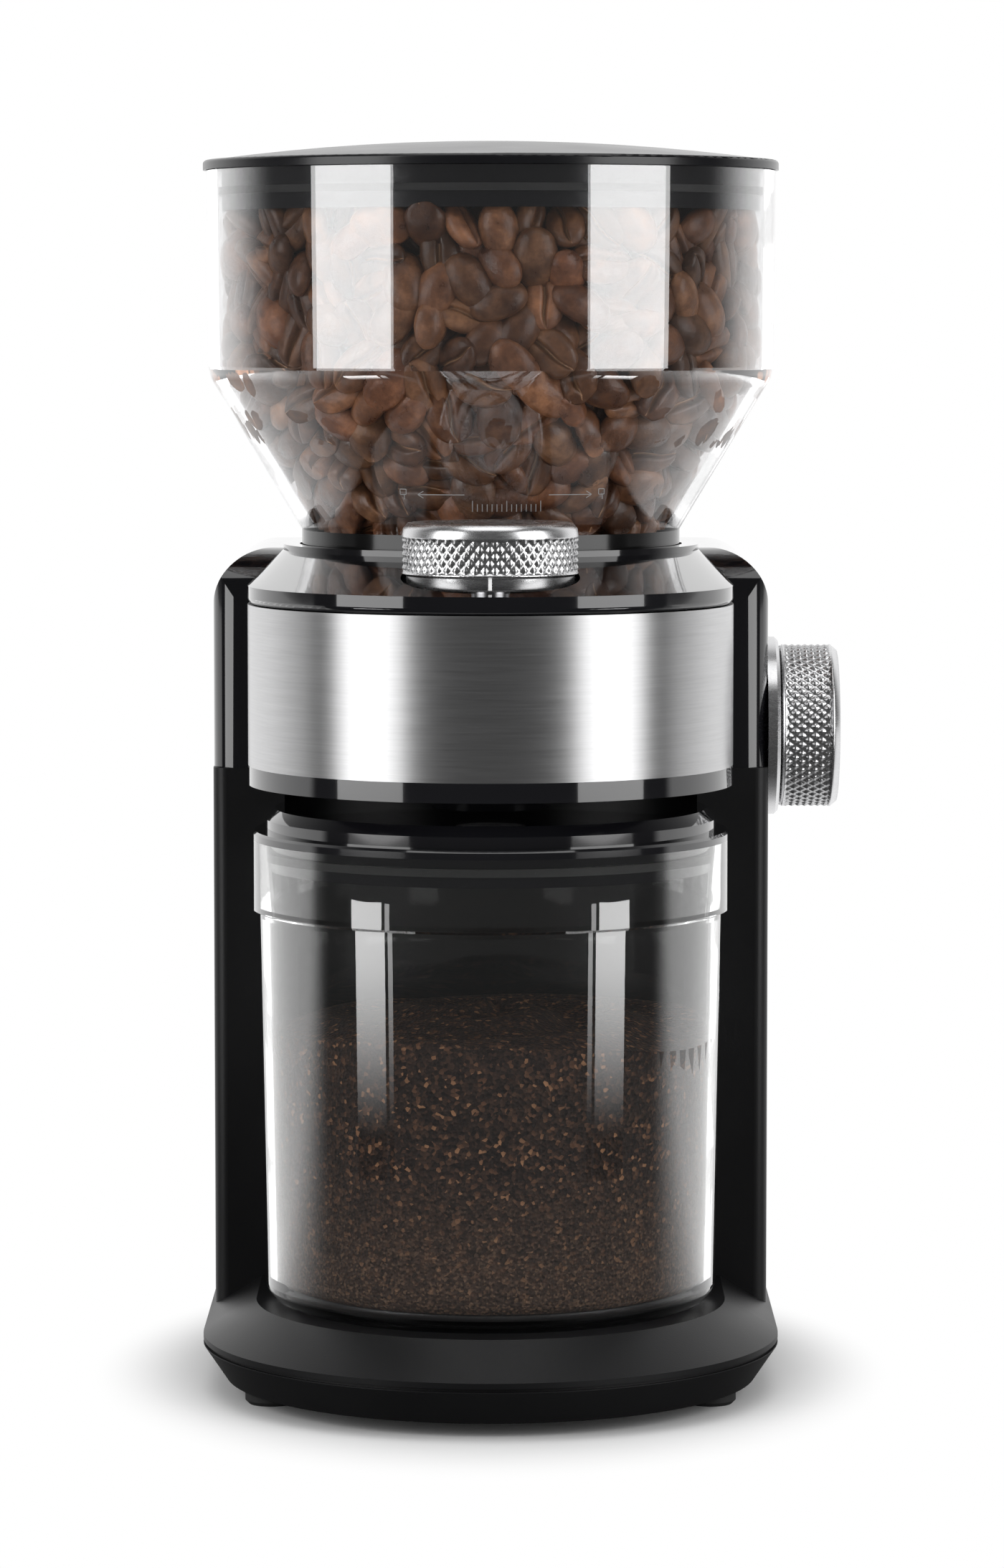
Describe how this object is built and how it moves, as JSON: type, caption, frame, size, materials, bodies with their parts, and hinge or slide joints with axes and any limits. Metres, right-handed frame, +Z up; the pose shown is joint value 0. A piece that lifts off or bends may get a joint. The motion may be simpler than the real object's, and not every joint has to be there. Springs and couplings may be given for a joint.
{
  "type": "burr coffee grinder",
  "caption": "Upright burr coffee grinder with a clear bean hopper and lid, front dial with start button, side dial, geared burr drive and a slide-out clear grounds jar.",
  "frame": {"origin": "centre of the overall box at the level of the feet's undersides", "axes": "+Z up; the front with jar and top dial faces -Y; the side dial is on +X"},
  "size_m": [0.132, 0.1596, 0.2539],
  "materials": {
    "clear_plastic": "clear, smooth",
    "clear_glass": "clear, smooth",
    "lid_black": "semi-gloss black",
    "gloss_black": "high-gloss black",
    "satin_black": "satin black",
    "base_black": "fine matte black",
    "black_rubber": "matte",
    "seal_silicone": "matte",
    "brushed_band": "brushed round the band",
    "knob_metal": "satin, diamond knurl",
    "button_metal": "satin, turned face",
    "dark_ring": "satin",
    "inner_plastic": "moulded",
    "gearbox_alloy": "die cast",
    "steel": "bright",
    "burr_steel": "ground",
    "bronze": "sintered",
    "pinion_brass": "cut",
    "gear_plastic": "moulded",
    "motor_steel": "zinc plated",
    "motor_plastic": "moulded",
    "board_green": "solder resist",
    "switch_black": "moulded"
  },
  "bodies": {
    "case": {"base_tray": "base_black", "base_cover": "satin_black", "rubber_feet": "black_rubber", "base_screws": "steel", "lower_body": "satin_black", "cord_gland": "base_black", "upper_body": "gloss_black", "top_deck": "gloss_black", "front_housing": "gloss_black", "steel_band": "brushed_band", "gearbox_base": "gearbox_alloy", "gearbox_cover": "gearbox_alloy", "gearbox_screws": "steel", "motor_can": "motor_steel", "motor_end_cap": "motor_plastic", "motor_pillar": "inner_plastic", "motor_pad": "black_rubber", "motor_screws": "steel", "idler_axle": "steel", "shaft_bush": "bronze", "shaft_bearing": "steel", "burr_housing": "inner_plastic", "grounds_chute": "inner_plastic", "dial_sensor": "switch_black", "control_board": "board_green", "board_screws": "steel", "start_switch": "switch_black", "side_flange": "knob_metal", "selector_switch": "switch_black", "power_board": "board_green"},
    "hopper": {"hopper": "clear_plastic", "hopper_ring": "dark_ring"},
    "lid": {"hopper_lid": "lid_black", "lid_seal": "seal_silicone"},
    "carrier": {"burr_carrier": "inner_plastic"},
    "outer_burr": {"ring_burr": "burr_steel"},
    "jar": {"jar": "clear_glass"},
    "jar_lid": {"jar_lid": "gloss_black", "jar_seal": "seal_silicone"},
    "dial": {"dial_knob": "knob_metal", "dial_shaft": "steel"},
    "button": {"start_button": "button_metal"},
    "side_dial": {"side_knob": "knob_metal", "side_shaft": "steel"},
    "burr_drive": {"burr_shaft": "steel", "burr_gear": "gear_plastic", "sweeper": "inner_plastic", "cone_burr": "burr_steel", "burr_bolt": "steel"},
    "idler": {"idler_gear": "gear_plastic"},
    "rotor": {"motor_shaft": "steel", "motor_pinion": "pinion_brass"}
  },
  "joints": [
    {"name": "hopper_turn", "type": "hinge", "parent": "case", "child": "hopper", "pos_m": [-0.00705, 0.0088, 0.1623], "axis": [0, 0, 1], "range_deg": [-30, 30]},
    {"name": "lid_lift", "type": "slide", "parent": "hopper", "child": "lid", "axis": [0, 0, 1], "range_m": [0, 0.06]},
    {"name": "carrier_turn", "type": "hinge", "parent": "case", "child": "carrier", "pos_m": [-0.00705, 0.0088, 0.1584], "axis": [0, 0, 1], "range_deg": [-30, 30]},
    {"name": "outer_burr_shift", "type": "slide", "parent": "carrier", "child": "outer_burr", "axis": [0, 0, 1], "range_m": [-0.0004, 0.0004]},
    {"name": "jar_slide", "type": "slide", "parent": "case", "child": "jar", "axis": [0, -1, 0], "range_m": [0, 0.12]},
    {"name": "jar_lid_twist", "type": "hinge", "parent": "jar", "child": "jar_lid", "pos_m": [-0.00705, -0.0212, 0.1128], "axis": [0, 0, 1], "range_deg": [0, 40]},
    {"name": "dial_turn", "type": "hinge", "parent": "case", "child": "dial", "pos_m": [-0.00705, -0.0497, 0.16475], "axis": [0, 0, 1], "range_deg": [-150, 150]},
    {"name": "button_press", "type": "slide", "parent": "case", "child": "button", "axis": [0, 0, -1], "range_m": [0, 0.0012], "stiffness_N_per_m": 500, "springref_m": -0.001},
    {"name": "side_dial_turn", "type": "hinge", "parent": "case", "child": "side_dial", "pos_m": [0.05055, 0.0238, 0.1322], "axis": [1, 0, 0], "range_deg": [-150, 150]},
    {"name": "burr_spin", "type": "hinge", "parent": "case", "child": "burr_drive", "pos_m": [-0.00705, 0.0088, 0.1428], "axis": [0, 0, 1], "continuous": true},
    {"name": "idler_spin", "type": "hinge", "parent": "case", "child": "idler", "pos_m": [0.00553, 0.03269, 0.1296], "axis": [0, 0, 1], "continuous": true},
    {"name": "motor_spin", "type": "hinge", "parent": "case", "child": "rotor", "pos_m": [-0.00705, 0.0543, 0.1296], "axis": [0, 0, 1], "continuous": true}
  ],
  "couplings": [
    {"joint": "carrier_turn", "follows": "hopper_turn", "ratio": 1},
    {"joint": "outer_burr_shift", "follows": "hopper_turn", "m_per_rad": 0.00076318},
    {"joint": "idler_spin", "follows": "burr_spin", "ratio": -2.8571},
    {"joint": "motor_spin", "follows": "burr_spin", "ratio": 7.3469}
  ]
}
